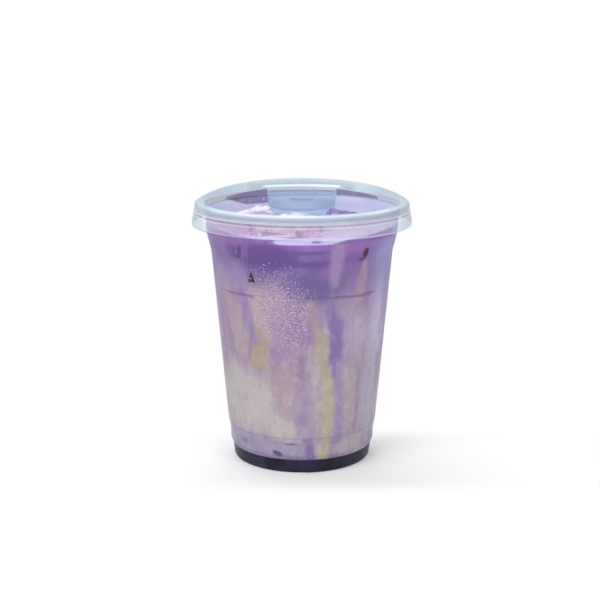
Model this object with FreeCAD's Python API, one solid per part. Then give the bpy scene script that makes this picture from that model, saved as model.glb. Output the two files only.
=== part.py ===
"""Iced ube latte in a clear takeaway cup with a press-on sipping lid.

Frame: millimetres, +Z up, origin on the table under the middle of the cup.
The lid's raised drinking lip is on the +Y side; the front faces -Y.
"""
import FreeCAD, Part
import math
import os

V = FreeCAD.Vector

# ---- Driving dimensions: cup -------------------------------------------------
CUP_HEIGHT = 120.1         # table to the top of the rolled rim
RIM_OUTER_R = 48.75        # outer radius of the rolled rim
CUP_WALL = 0.45            # thickness of the blown plastic
FOOT_R = 31.3              # outer radius of the ring the cup stands on
FOOT_CORNER = 0.9          # width of the rounded corner over the table
FOOT_CORNER_H = 1.3        # and its height
FOOT_H = 7.0               # height of the foot
FOOT_LEAN = 0.75           # how much the foot widens towards its top
HEEL_STEP = 0.95           # how far the heel stands out over the foot
HEEL_H = 1.8
BAND_LEAN = 0.15           # the lower band is almost upright
BAND_H = 5.2
BULGE_STEP = 1.0           # from the band out to the long wall
BULGE_H = 4.8
SHOULDER_STEP = 1.85       # how far the stacking shoulder flares out
SHOULDER_H = 7.5
NECK_LEAN = 1.7            # the neck widens this much up to the rim
NECK_H = 12.35             # top of the shoulder to the middle of the rolled rim
LINE_DROP = 15.2           # the moulded line runs this far under the shoulder
LINE_DEPTH = 0.25
LINE_HALF_H = 0.6
LINE_ROUND = 0.8
RIM_TUBE_R = 1.75          # half the thickness of the rolled rim
RIM_CURL_END = -105.0      # where the curl stops, degrees from straight out
PUSH_UP = 2.4              # how far the middle of the base is pushed up
PUSH_UP_R = 25.5           # radius of the pushed-up floor
PUSH_UP_RUN = 2.2          # width of the slope round it
BASE_EDGE = 0.6            # rounding of the edges under the cup
SOFT_EDGE = 1.6            # rounding of the steps in the cup's wall
SHOULDER_EDGE = 3.2        # rounding of the stacking shoulder

# ---- Driving dimensions: lid -------------------------------------------------
LID_WALL = 0.45            # thickness of the lid's sheet
RIM_CLEARANCE = 0.3        # between the lid's channel and the cup's rim
PLUG_CLEARANCE = 0.3       # between the lid's inner wall and the cup's neck
CREST_WIDTH = 0.5          # flat on top of the ring
CREST_ROUND = 1.15         # rounding of the ring's outer edge
BEVEL_RISE = 3.6           # height of the slope inside the raised lip
BEVEL_RUN = 3.3            # width of that slope
INNER_FLARE = 0.6          # chamfer between the crest and the recess inside it
DECK_DROP = 3.0            # the deck lies this far under the front crest
LIP_START_Y = 5.0          # the ring begins to rise here
LIP_BLEND_RUN = 12.0       # length of the gentler first part of the rise
LIP_SLOPE = 0.119          # rise per millimetre towards the drinking lip
SKIRT_DROP = 10.2          # crest to the lower edge of the skirt
SKIRT_FLARE = 1.15         # how far the skirt's lower edge stands out
SKIRT_HEM_H = 1.2          # upright hem under the flare
HEM_EDGE = 1.0             # rounding between the flare and the hem
GROOVE_DEPTH = 0.2         # shallow groove under the rolled rim
GROOVE_HALF_H = 0.7
GROOVE_GAP = 0.15          # from the rim's underside down to the groove
GROOVE_EDGE = 0.3
WELL_R = 17.2              # radius of the D-shaped drinking well, at the deck
WELL_INSET = 3.5           # its centre lies this far inside the skirt
WELL_DEPTH = 6.0           # depth of the well under the deck
WELL_DRAFT = 0.7           # how much narrower the well is at its floor
WELL_EDGE = 1.4            # rounding where the well's wall meets its floor
SIP_SLOT_LENGTH = 13.0     # drinking slot in the well's floor
SIP_SLOT_WIDTH = 5.0
SIP_SLOT_REACH = 9.4       # from the well's centre inwards to the slot

# ---- Driving dimensions: contents --------------------------------------------
FILL_CLEARANCE = 0.2       # between what is poured in and the plastic
SYRUP_UNDER_STEP = 0.2     # the dark ube syrup ends this far under the foot's top
LEVEL_UNDER_RIM = 12.6     # level of the milk and coffee, under the rim's top
ICE_EDGE = 3.4             # rounding of the melting ice
ICE_CLEARANCE = 0.12       # between the ice and the milk round it

# Each cube of ice that stands out of the drink: name, middle, size, turn. Its
# height is measured from the level. A smaller cup gets smaller ice.
ICE_FULL_SIZE_R = 44.0     # radius of the shoulder from which the ice is full size
ICE = [
    ("ice_left", (-22.5, 13.0, -3.1), (24.0, 21.0, 19.0), (8.0, -12.0, 24.0)),
    ("ice_middle", (-0.6, -3.5, -2.2), (20.0, 18.0, 19.5), (-7.0, 5.0, -32.0)),
    ("ice_right", (21.5, 11.5, -3.3), (21.0, 20.5, 18.5), (6.0, 13.0, 14.0)),
    ("ice_front", (3.5, -29.5, -5.9), (22.0, 17.0, 18.0), (-9.0, 4.0, 6.0)),
]

# ---- Derived sizes: cup ------------------------------------------------------
FOOT_CORNER_R = FOOT_R + FOOT_CORNER
FOOT_TOP_R = FOOT_CORNER_R + FOOT_LEAN
HEEL_R = FOOT_TOP_R + HEEL_STEP
HEEL_Z = FOOT_H + HEEL_H
BAND_TOP_R = HEEL_R + BAND_LEAN
BAND_TOP_Z = HEEL_Z + BAND_H
WALL_FOOT_R = BAND_TOP_R + BULGE_STEP
WALL_FOOT_Z = BAND_TOP_Z + BULGE_H
RIM_CENTRE_R = RIM_OUTER_R - RIM_TUBE_R
RIM_CENTRE_Z = CUP_HEIGHT - RIM_TUBE_R
NECK_TOP_R = RIM_CENTRE_R - RIM_TUBE_R + CUP_WALL
SHOULDER_R = NECK_TOP_R - NECK_LEAN
SHOULDER_Z = RIM_CENTRE_Z - NECK_H
WALL_TOP_R = SHOULDER_R - SHOULDER_STEP
WALL_TOP_Z = SHOULDER_Z - SHOULDER_H
LINE_Z = WALL_TOP_Z - LINE_DROP

# ---- Derived sizes: lid ------------------------------------------------------
SKIRT_R = RIM_OUTER_R + RIM_CLEARANCE + LID_WALL
CREST_Z = CUP_HEIGHT + RIM_CLEARANCE + LID_WALL
DECK_Z = CREST_Z - DECK_DROP
SKIRT_Z = CREST_Z - SKIRT_DROP
HEM_TOP_Z = SKIRT_Z + SKIRT_HEM_H
CREST_R = SKIRT_R - CREST_ROUND
BEVEL_TOP_R = CREST_R - CREST_WIDTH
BEVEL_FOOT_R = BEVEL_TOP_R - BEVEL_RUN
WELL_CENTRE_Y = SKIRT_R - WELL_INSET
WELL_FLOOR_Z = DECK_Z - WELL_DEPTH
SIP_SLOT_Y = WELL_CENTRE_Y - SIP_SLOT_REACH
SPARE = 2.0                # tools stand this far clear of what they cut
TOOL_REACH = SKIRT_R + 4 * SPARE
BLANK_TOP_Z = CREST_Z + LIP_SLOPE * SKIRT_R + SPARE
TOOL_TOP_Z = BLANK_TOP_Z + LIP_SLOPE * 2 * TOOL_REACH + SPARE

# ---- Derived sizes: contents -------------------------------------------------
SYRUP_TOP_Z = FOOT_H - SYRUP_UNDER_STEP
LATTE_TOP_Z = CUP_HEIGHT - LEVEL_UNDER_RIM
ICE_SCALE = min(1.0, SHOULDER_R / ICE_FULL_SIZE_R)


# ---- Helpers -----------------------------------------------------------------
def rounded_path(corners):
    """Edges of an open outline in the XZ plane; a corner is (r, z, radius)."""
    points = [V(r, 0, z) for r, z, _ in corners]
    edges = []
    start = points[0]
    for i in range(1, len(corners) - 1):
        radius = corners[i][2]
        back = (points[i - 1] - points[i]).normalize()
        ahead = (points[i + 1] - points[i]).normalize()
        half = back.getAngle(ahead) / 2
        if radius <= 0 or half > math.radians(89.9):
            edges.append(Part.makeLine(start, points[i]))
            start = points[i]
            continue
        reach = radius / math.tan(half)
        bisector = (back + ahead).normalize()
        middle = points[i] + bisector * (radius / math.sin(half) - radius)
        arc_start = points[i] + back * reach
        arc_end = points[i] + ahead * reach
        edges.append(Part.makeLine(start, arc_start))
        edges.append(Part.Arc(arc_start, middle, arc_end).toShape())
        start = arc_end
    edges.append(Part.makeLine(start, points[-1]))
    return edges


def inset_corners(corners, inset):
    """Corners moved inwards so that a wall of even thickness is left.

    The outline runs from the axis outwards and up, so inwards is to its left.
    The last corner moves level, to meet the rolled rim.
    """
    moved = [(0.0, corners[0][1] + inset, corners[0][2])]
    for before, corner, after in zip(corners, corners[1:], corners[2:]):
        normals = []
        for start, end in ((before, corner), (corner, after)):
            length = math.hypot(end[0] - start[0], end[1] - start[1])
            normals.append(((start[1] - end[1]) / length, (end[0] - start[0]) / length))
        (ax, az), (bx, bz) = normals
        reach = inset / (1 + ax * bx + az * bz)
        moved.append((corner[0] + (ax + bx) * reach, corner[1] + (az + bz) * reach, corner[2]))
    last = corners[-1]
    moved.append((last[0] - inset, last[1], last[2]))
    return moved


def spun(edges):
    """Solid made by turning a closed outline round the Z axis."""
    face = Part.Face(Part.Wire(Part.__sortEdges__(edges)))
    solid = face.revolve(V(0, 0, 0), V(0, 0, 1), 360)
    return solid if solid.Volume > 0 else solid.reversed()


def spun_outline(corners):
    """Solid turned from corners whose first and last points are on the axis."""
    edges = rounded_path(corners)
    first = V(corners[0][0], 0, corners[0][1])
    last = V(corners[-1][0], 0, corners[-1][1])
    edges.append(Part.makeLine(last, first))
    return spun(edges)


def only_solid(shape):
    """The single solid of a boolean result."""
    solids = shape.Solids
    if len(solids) != 1:
        raise RuntimeError("expected one solid, found %d" % len(solids))
    return solids[0]


# ---- Cup ---------------------------------------------------------------------
def wall_radius(z):
    """Outer radius of the long tapered wall at a height."""
    share = (z - WALL_FOOT_Z) / (WALL_TOP_Z - WALL_FOOT_Z)
    return WALL_FOOT_R + (WALL_TOP_R - WALL_FOOT_R) * share


def cup_path(inset):
    """Outline from the middle of the base to the neck, inset from outside.

    With inset 0 this is the outer surface. With the wall's thickness it is
    the inner one, and contents take the wall and a clearance together.
    """
    line_foot = LINE_Z - LINE_HALF_H
    line_top = LINE_Z + LINE_HALF_H
    outside = [
        (0.0, PUSH_UP, 0.0),
        (PUSH_UP_R, PUSH_UP, BASE_EDGE),
        (PUSH_UP_R + PUSH_UP_RUN, 0.0, BASE_EDGE),
        (FOOT_R, 0.0, BASE_EDGE),
        (FOOT_CORNER_R, FOOT_CORNER_H, BASE_EDGE),
        (FOOT_TOP_R, FOOT_H, SOFT_EDGE),
        (HEEL_R, HEEL_Z, SOFT_EDGE),
        (BAND_TOP_R, BAND_TOP_Z, SOFT_EDGE),
        (WALL_FOOT_R, WALL_FOOT_Z, SOFT_EDGE),
        (wall_radius(line_foot), line_foot, LINE_ROUND),
        (wall_radius(LINE_Z) - LINE_DEPTH, LINE_Z, LINE_ROUND),
        (wall_radius(line_top), line_top, LINE_ROUND),
        (WALL_TOP_R, WALL_TOP_Z, SHOULDER_EDGE),
        (SHOULDER_R, SHOULDER_Z, SHOULDER_EDGE),
        (NECK_TOP_R, RIM_CENTRE_Z, 0.0),
    ]
    return inset_corners(outside, inset)


def rim_point(radius, degrees):
    """Point of the rolled rim's section, at an angle from straight out."""
    angle = math.radians(degrees)
    return V(RIM_CENTRE_R + radius * math.cos(angle), 0,
             RIM_CENTRE_Z + radius * math.sin(angle))


def rim_arc(radius):
    """The curl, from the neck over the top and down the outside."""
    middle = (180.0 + RIM_CURL_END) / 2
    return Part.Arc(rim_point(radius, 180.0), rim_point(radius, middle),
                    rim_point(radius, RIM_CURL_END)).toShape()


def make_cup():
    """One thin wall: base, stepped foot, tapered side and rolled rim."""
    inside = RIM_TUBE_R - CUP_WALL
    edges = rounded_path(cup_path(0.0))
    edges += rounded_path(cup_path(CUP_WALL))
    edges.append(rim_arc(inside))
    edges.append(rim_arc(RIM_TUBE_R))
    edges.append(Part.makeLine(rim_point(inside, RIM_CURL_END),
                               rim_point(RIM_TUBE_R, RIM_CURL_END)))
    edges.append(Part.makeLine(V(0, 0, PUSH_UP), V(0, 0, PUSH_UP + CUP_WALL)))
    return only_solid(spun(edges))


def neck_inner_radius(z):
    """Inner radius of the cup's neck at a height."""
    share = (z - SHOULDER_Z) / (RIM_CENTRE_Z - SHOULDER_Z)
    return SHOULDER_R + (NECK_TOP_R - SHOULDER_R) * share - CUP_WALL


# ---- Lid ---------------------------------------------------------------------
def skirt_radius(z):
    """Outer radius of the skirt, which widens from the rim down to its hem."""
    share = (RIM_CENTRE_Z - z) / (RIM_CENTRE_Z - HEM_TOP_Z)
    return SKIRT_R + SKIRT_FLARE * min(max(share, 0.0), 1.0)


def lid_blank(inset):
    """Turned body of the lid, taller than the ring, before its top is cut.

    Outside it is the skirt that goes down over the rim, widening to its hem,
    with a shallow groove under the rim.
    """
    groove_z = RIM_CENTRE_Z - RIM_TUBE_R - GROOVE_GAP - GROOVE_HALF_H
    bottom = SKIRT_Z - (SPARE if inset > 0 else 0.0)
    heights = [
        (bottom, 0.0, 0.0),
        (HEM_TOP_Z, 0.0, HEM_EDGE),
        (groove_z - GROOVE_HALF_H, 0.0, GROOVE_EDGE),
        (groove_z, GROOVE_DEPTH, GROOVE_EDGE),
        (groove_z + GROOVE_HALF_H, 0.0, GROOVE_EDGE),
        (RIM_CENTRE_Z, 0.0, HEM_EDGE),
        (BLANK_TOP_Z, 0.0, 0.0),
    ]
    skirt = [(skirt_radius(z) - depth - inset, z, edge) for z, depth, edge in heights]
    return spun_outline([(0.0, bottom, 0.0)] + skirt + [(0.0, BLANK_TOP_Z, 0.0)])


def air_over_ring(inset, bevelled):
    """The space over the ring, as if its crest were level all round.

    Its underside is the crest and the rounded outer edge and, where the ring
    rises, the slope that leads from the crest down to the inside.
    """
    round_r = CREST_ROUND - inset
    crest_z = CREST_Z - inset
    outer_r = SKIRT_R - inset
    foot_z = crest_z
    slope = []
    if bevelled:
        slope_length = math.hypot(BEVEL_RISE, BEVEL_RUN)
        shift = inset * (slope_length - BEVEL_RUN) / BEVEL_RISE
        foot_z = crest_z - BEVEL_RISE
        slope = [(BEVEL_FOOT_R + shift, foot_z, 0.0),
                 (BEVEL_TOP_R + shift, crest_z, 0.0)]
    eighth = math.radians(45.0)
    arc = Part.Arc(
        V(CREST_R, 0, crest_z),
        V(CREST_R + round_r * math.sin(eighth), 0,
          crest_z - round_r * (1 - math.cos(eighth))),
        V(outer_r, 0, crest_z - round_r)).toShape()
    inner = rounded_path([(0.0, foot_z, 0.0)] + slope + [(CREST_R, crest_z, 0.0)])
    outer = rounded_path([
        (outer_r, crest_z - round_r, 0.0),
        (TOOL_REACH, crest_z - round_r, 0.0),
        (TOOL_REACH, TOOL_TOP_Z, 0.0),
        (0.0, TOOL_TOP_Z, 0.0),
        (0.0, foot_z, 0.0),
    ])
    return spun(inner + [arc] + outer)


def leaned(shape, start_y, slope):
    """Shear a shape so that it rises towards +Y, starting from a line."""
    matrix = FreeCAD.Matrix()
    matrix.A32 = slope
    matrix.A34 = -slope * start_y
    return shape.transformGeometry(matrix)


def lip_cut(inset):
    """What is cut from the blank to leave the ring with its rising lip."""
    level = air_over_ring(inset, False)
    sloping = air_over_ring(inset, True)
    gentle = leaned(sloping, LIP_START_Y, LIP_SLOPE / 2)
    steep_start = LIP_START_Y + LIP_BLEND_RUN / 2
    steep = leaned(sloping, steep_start, LIP_SLOPE)
    return level.common(gentle).common(steep)


def plug_radius(z, inset):
    """Radius of the wall inside the cup's neck; inset counts outwards."""
    return neck_inner_radius(z) - PLUG_CLEARANCE - LID_WALL + inset


def deck_well(inset):
    """The round recess inside the ring, flared where it meets the crest."""
    radius = plug_radius(DECK_Z, inset)
    flare_z = CREST_Z - INNER_FLARE
    return spun_outline([
        (0.0, DECK_Z - inset, 0.0),
        (radius, DECK_Z - inset, 0.0),
        (radius, flare_z, 0.0),
        (radius + INNER_FLARE, flare_z + INNER_FLARE, 0.0),
        (radius + INNER_FLARE, BLANK_TOP_Z + SPARE, 0.0),
        (0.0, BLANK_TOP_Z + SPARE, 0.0),
    ])


def drinking_well(inset):
    """D-shaped well under the lip: a drafted round, stopped at the ring."""
    floor_z = WELL_FLOOR_Z - inset
    height = DECK_Z + SPARE - floor_z
    per_mm = WELL_DRAFT / WELL_DEPTH
    bottom_r = WELL_R - WELL_DRAFT + inset
    top_r = bottom_r + per_mm * height
    bowl = Part.makeCone(bottom_r, top_r, height, V(0, WELL_CENTRE_Y, floor_z))
    low = plug_radius(floor_z, inset)
    high = plug_radius(floor_z + height, inset)
    inside = Part.makeCone(low, high, height, V(0, 0, floor_z))
    well = only_solid(bowl.common(inside))
    floor_edges = [e for e in well.Edges
                   if all(abs(v.Z - floor_z) < 1e-4 for v in e.Vertexes)]
    return well.makeFillet(WELL_EDGE + inset, floor_edges)


def lid_form(inset):
    """The lid as a full body, seen from one side of its sheet."""
    body = lid_blank(inset).cut(lip_cut(inset))
    body = body.cut(deck_well(inset))
    return body.cut(drinking_well(inset))


def sip_slot():
    """Round-ended slot through the floor of the drinking well."""
    half = (SIP_SLOT_LENGTH - SIP_SLOT_WIDTH) / 2
    radius = SIP_SLOT_WIDTH / 2
    z = WELL_FLOOR_Z - LID_WALL - SPARE
    depth = LID_WALL + 2 * SPARE
    slot = Part.makeBox(2 * half, SIP_SLOT_WIDTH, depth,
                        V(-half, SIP_SLOT_Y - radius, z))
    for side in (-half, half):
        slot = slot.fuse(Part.makeCylinder(radius, depth, V(side, SIP_SLOT_Y, z)))
    return slot.removeSplitter()


def make_lid():
    """One formed sheet: skirt, rising ring, deck and drinking well."""
    sheet = lid_form(0.0).cut(lid_form(LID_WALL))
    sheet = sheet.cut(sip_slot())
    return only_solid(sheet)


# ---- Contents ----------------------------------------------------------------
def filled_between(low_z, high_z):
    """What is poured into the cup, between two levels."""
    path = cup_path(CUP_WALL + FILL_CLEARANCE)
    top = path[-1]
    full = spun_outline(path + [(0.0, top[1], 0.0)])
    slab = Part.makeCylinder(TOOL_REACH, high_z - low_z, V(0, 0, low_z))
    return only_solid(full.common(slab))


def ice_cube(middle, size, turn, grow):
    """A melting cube: rounded box, turned about its middle."""
    length, width, height = (side * ICE_SCALE + 2 * grow for side in size)
    cube = Part.makeBox(length, width, height,
                        V(-length / 2, -width / 2, -height / 2))
    cube = cube.makeFillet(ICE_EDGE * ICE_SCALE + grow, cube.Edges)
    for axis, degrees in zip((V(1, 0, 0), V(0, 1, 0), V(0, 0, 1)), turn):
        cube.rotate(V(0, 0, 0), axis, degrees)
    cube.translate(V(*middle) * ICE_SCALE + V(0, 0, LATTE_TOP_Z))
    return cube


def make_latte():
    """Milk, ube and coffee up to the level, cut round the ice."""
    latte = filled_between(SYRUP_TOP_Z, LATTE_TOP_Z)
    for _, middle, size, turn in ICE:
        latte = latte.cut(ice_cube(middle, size, turn, ICE_CLEARANCE))
    return only_solid(latte)


def make_syrup():
    """The dark layer that fills the foot of the cup."""
    return filled_between(0.0, SYRUP_TOP_Z)


def export(name, shape):
    """Write one piece and say what was made."""
    os.makedirs("parts", exist_ok=True)
    shape.exportStep("parts/%s.step" % name)
    box = shape.BoundBox
    print("%-12s valid %s volume %.0f faces %d  z %.1f to %.1f" % (
        name, shape.isValid(), shape.Volume, len(shape.Faces), box.ZMin, box.ZMax))


export("cup", make_cup())
export("lid", make_lid())
export("latte", make_latte())
export("ube_syrup", make_syrup())
for ice_name, ice_middle, ice_size, ice_turn in ICE:
    export(ice_name, ice_cube(ice_middle, ice_size, ice_turn, 0.0))
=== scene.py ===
# %% [markdown]
# # Iced ube latte in a clear cup
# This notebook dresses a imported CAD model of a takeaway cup, its press-on sipping lid and
# the drink inside. The CAD file holds every size. Here each part gets its real surface:
# clear plastic, marbled milk, clouded ice, foam on the wall and tiny beads of water.

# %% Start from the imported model
import math

import bmesh
import bpy
import numpy as np
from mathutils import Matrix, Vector, noise


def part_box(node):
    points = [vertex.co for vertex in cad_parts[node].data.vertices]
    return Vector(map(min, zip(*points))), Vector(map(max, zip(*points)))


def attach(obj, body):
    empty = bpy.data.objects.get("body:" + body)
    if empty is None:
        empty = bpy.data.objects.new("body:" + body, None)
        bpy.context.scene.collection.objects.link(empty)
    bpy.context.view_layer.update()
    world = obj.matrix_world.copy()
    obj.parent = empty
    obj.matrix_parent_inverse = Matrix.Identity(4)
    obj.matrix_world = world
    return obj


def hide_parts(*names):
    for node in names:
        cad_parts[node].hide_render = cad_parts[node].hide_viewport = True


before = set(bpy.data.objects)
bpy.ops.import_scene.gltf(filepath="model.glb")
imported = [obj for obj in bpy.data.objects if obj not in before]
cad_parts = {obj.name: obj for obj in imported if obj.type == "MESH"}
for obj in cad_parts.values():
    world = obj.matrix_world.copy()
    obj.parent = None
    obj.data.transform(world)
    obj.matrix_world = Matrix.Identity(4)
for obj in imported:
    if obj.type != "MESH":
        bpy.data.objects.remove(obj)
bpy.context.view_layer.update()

MM = 0.001                 # a millimetre in metres
TO_MM = 1000.0             # and the way back
WHITE = (1.0, 1.0, 1.0, 1.0)

# %% [markdown]
# ## Writing materials as sums
# A surface that changes from place to place needs many Math nodes. They are easier to read
# as Python expressions, so a small class wraps a socket and turns + - * / into nodes.
# Colours never go through Math nodes, which would turn them grey. They go through Mix.

# %% A number that varies over a surface
def math_step(operation, swapped=False):
    """An operator of Varying: one Math node."""
    def apply(self, other=0.0):
        first, second = (other, self) if swapped else (self, other)
        return self.finish.node("ShaderNodeMath", {"operation": operation},
                                {0: first, 1: second})
    return apply


class Varying:
    """The output of a node, with the usual operators."""

    def __init__(self, finish, socket):
        self.finish = finish
        self.socket = socket

    __add__ = __radd__ = math_step("ADD")
    __mul__ = __rmul__ = math_step("MULTIPLY")
    __sub__ = math_step("SUBTRACT")
    __rsub__ = math_step("SUBTRACT", swapped=True)
    __truediv__ = math_step("DIVIDE")
    __pow__ = math_step("POWER")
    most = math_step("MAXIMUM")
    size = math_step("ABSOLUTE")

    def other(self, name):
        """Another output of the same node."""
        return Varying(self.finish, self.socket.node.outputs[name])

    def step(self, start, end):
        """0 at start, 1 at end, eased between them."""
        return self.finish.node(
            "ShaderNodeMapRange", {"interpolation_type": "SMOOTHSTEP"},
            {"Value": self, "From Min": start, "From Max": end})


print("sums of nodes ready")

# %% A material under construction
def colour(red, green, blue):
    """A colour read on a screen, 0 to 255, as the linear values nodes take."""
    def linear(value):
        share = value / 255
        return share / 12.92 if share <= 0.04045 else ((share + 0.055) / 1.055) ** 2.4
    return (linear(red), linear(green), linear(blue), 1.0)


class Finish:
    """A material and the one method that adds nodes to it."""

    def __init__(self, name):
        self.material = bpy.data.materials.new(name)
        self.material.use_nodes = True
        self.tree = self.material.node_tree
        self.tree.nodes.clear()

    def node(self, kind, settings=None, sockets=None):
        """A node of a kind: its settings first, then values or links of its sockets."""
        made = self.tree.nodes.new(kind)
        for key, value in (settings or {}).items():
            if key == "stops":
                ramp = made.color_ramp.elements
                while len(ramp) < len(value):
                    ramp.new(0.5)
                for element, (position, tint) in zip(ramp, value):
                    element.position = position
                    element.color = tint
            else:
                setattr(made, key, value)
        for key, value in (sockets or {}).items():
            if isinstance(value, Varying):
                self.tree.links.new(value.socket, made.inputs[key])
            else:
                made.inputs[key].default_value = value
        visible = [output for output in made.outputs if output.enabled]
        return Varying(self, visible[0]) if visible else None

    def mix(self, share, below, above):
        """One colour over another."""
        return self.node("ShaderNodeMix", {"data_type": "RGBA"}, {0: share, 6: below, 7: above})

    def noise(self, place, scale, detail=2.0, roughness=0.5):
        """Cloudy values round 0.5."""
        return self.node("ShaderNodeTexNoise", {},
                         {"Vector": place, "Scale": scale, "Detail": detail,
                          "Roughness": roughness})

    def place(self):
        """Where a point of the piece is, in metres."""
        return self.node("ShaderNodeTexCoord").other("Object")

    def stretched(self, place, x, y, z):
        """The place, with each direction scaled."""
        return self.node("ShaderNodeVectorMath", {"operation": "MULTIPLY"},
                         {0: place, 1: (x, y, z)})

    def split(self, place):
        """The three coordinates of a place."""
        x = self.node("ShaderNodeSeparateXYZ", {}, {0: place})
        return x, x.other("Y"), x.other("Z")

    def length(self, place):
        """Distance of a place from the origin."""
        return self.node("ShaderNodeVectorMath", {"operation": "LENGTH"},
                         {0: place}).other("Value")

    def bump(self, height, distance, strength):
        """A normal from a height that varies, in metres."""
        return self.node("ShaderNodeBump", {}, {"Height": height, "Distance": distance,
                                                "Strength": strength})

    def shine(self, sockets):
        """A Principled shader."""
        return self.node("ShaderNodeBsdfPrincipled", {}, sockets)

    def clear(self):
        """Nothing but what lies behind."""
        return self.node("ShaderNodeBsdfTransparent", {}, {"Color": WHITE})

    def blend(self, share, below, above):
        """A share of one shader over another."""
        return self.node("ShaderNodeMixShader", {}, {0: share, 1: below, 2: above})

    def done(self, shader):
        """Close the material with its output."""
        self.node("ShaderNodeOutputMaterial", {}, {"Surface": shader})
        return self.material


print("material tools ready")

# %% [markdown]
# ## Reading sizes from the model
# The drink follows the cup's wall all the way up. Its CAD solid is turned from an outline,
# so its mesh has rings of points at the heights where the outline bends. Those rings give
# the radius of the cup at any height of the drink, so it isn't written a second time.

# %% Rings of the turned parts
FILL_GAP = 0.20 * MM       # the CAD leaves this between what is poured in and the plastic
WALL = 0.45 * MM           # thickness of the cup's plastic
RING_POINTS = 24           # a level with fewer points isn't a ring
RIM_START = 118.5 * MM     # the rolled rim begins about here
OVER_FLOOR_R = 30.0 * MM   # rings inside this radius belong to the pushed-up floor
ON_AXIS = 1e-7             # a radius this small is a point on the axis


def rings(node):
    """(height, radius) of each ring of points of a turned CAD part."""
    points = np.array([v.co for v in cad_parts[node].data.vertices])
    radius = np.round(np.hypot(points[:, 0], points[:, 1]) / MM, 3)
    height = np.round(points[:, 2] / MM, 3)
    pairs, counts = np.unique(np.stack([height, radius], 1), axis=0, return_counts=True)
    return [(h * MM, r * MM) for (h, r), n in zip(pairs, counts) if n >= RING_POINTS]


fill_rings = sorted(rings("latte") + rings("ube_syrup"))
LIQUID_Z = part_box("latte")[1].z
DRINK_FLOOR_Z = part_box("latte")[0].z
NECK = [(h, r) for h, r in rings("cup") if LIQUID_Z < h < RIM_START]
NARROW_Z, NARROW_R = min(NECK, key=lambda ring: ring[1])     # narrowest ring over the drink
widest = {}
for h, r in fill_rings:
    widest[h] = max(r, widest.get(h, 0.0))
SIDE = [(h, r) for h, r in sorted(widest.items()) if r > OVER_FLOOR_R]
print(len(SIDE), "levels, liquid at", round(LIQUID_Z / MM, 1), "mm, narrowest ring over it at",
      round(NARROW_Z / MM, 1), "mm with radius", round(NARROW_R / MM, 2))


def inner_radius(z):
    """Inner radius of the cup at a height, up to NARROW_Z.

    Higher up it stays at NARROW_R, while the real neck goes on widening.
    """
    heights = [h for h, _ in SIDE] + [NARROW_Z]
    radii = [r + FILL_GAP for _, r in SIDE] + [NARROW_R]
    return float(np.interp(z, heights, radii))


# %% Mesh helpers
def piece(name, mesh, material):
    """A piece of the object, riding on its only body."""
    obj = bpy.data.objects.new(name, mesh)
    bpy.context.scene.collection.objects.link(obj)
    mesh.materials.clear()
    mesh.materials.append(material)
    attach(obj, "root")
    return obj


def smooth(mesh, degrees=25.0):
    """Round shading, with edges kept where the surface really bends."""
    mesh.polygons.foreach_set("use_smooth", [True] * len(mesh.polygons))
    mesh.set_sharp_from_angle(angle=math.radians(degrees))


def copy_of(node):
    """A CAD part's mesh with its loose triangles joined."""
    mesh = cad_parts[node].data.copy()
    shape = bmesh.new()
    shape.from_mesh(mesh)
    bmesh.ops.remove_doubles(shape, verts=shape.verts, dist=0.001 * MM)
    shape.to_mesh(mesh)
    shape.free()
    return mesh


def turned(name, outline, steps, reshape=None):
    """A closed mesh turned from (radius, height) points that start and end on the axis."""
    shape = bmesh.new()
    loops = []
    for radius, height in outline:
        if radius < ON_AXIS:
            loops.append([shape.verts.new((0.0, 0.0, height))])
            continue
        turns = [2 * math.pi * i / steps for i in range(steps)]
        loops.append([shape.verts.new((radius * math.cos(turn), radius * math.sin(turn), height))
                      for turn in turns])
    for low, high in zip(loops, loops[1:]):
        for i in range(steps):
            j = (i + 1) % steps
            corners = [low[i % len(low)], low[j % len(low)],
                       high[j % len(high)], high[i % len(high)]]
            shape.faces.new(list(dict.fromkeys(corners)))
    bmesh.ops.recalc_face_normals(shape, faces=shape.faces)
    if reshape:
        for vertex in shape.verts:
            reshape(vertex)
    mesh = bpy.data.meshes.new(name)
    shape.to_mesh(mesh)
    shape.free()
    smooth(mesh)
    return mesh


print("mesh helpers ready")

# %% [markdown]
# ## Clear plastic
# Cup and lid are thin sheets of PET. A thin sheet hardly bends light, so it is drawn as a
# mix of what shows through it and a gloss that grows towards grazing angles. Light and
# shadows then pass through it to the drink, which a solid glass shader would block.

# %% The plastic of the cup and of the lid
def clear_sheet(f, paint, least, most, power, roughness, shine_level):
    """A see-through sheet: its haze, and how the haze and gloss grow at grazing angles."""
    facing = f.node("ShaderNodeLayerWeight", {}, {"Blend": 0.5}).other("Facing")
    path = f.node("ShaderNodeLightPath")
    lit_through = 1.0 - path.other("Is Shadow Ray").most(path.other("Is Diffuse Ray"))
    share = ((facing ** power) * (most - least) + least) * lit_through
    ripple = f.bump(f.noise(f.place(), 260.0), 0.03 * MM, 0.6)
    gloss = f.shine({"Base Color": paint, "Roughness": roughness, "IOR": 1.45,
                     "Specular IOR Level": shine_level, "Normal": ripple})
    return f.done(f.blend(share, f.clear(), gloss))


def cup_finish():
    """The cup's wall hardly shows over the drink."""
    f = Finish("cup_plastic")
    return clear_sheet(f, colour(224, 220, 240), 0.02, 0.22, 4.0, 0.10, 0.5)


# Painted highlight and shade lines where the skirt's stacking steps are, which have no relief:
# height in millimetres, half width, colour
STEP_LIGHT_AND_SHADE_LINES = [(118.8, 0.65, (196, 196, 228)), (117.3, 0.35, (236, 232, 250)),
              (116.5, 0.35, (150, 140, 172)), (115.7, 0.30, (226, 214, 238))]

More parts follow.
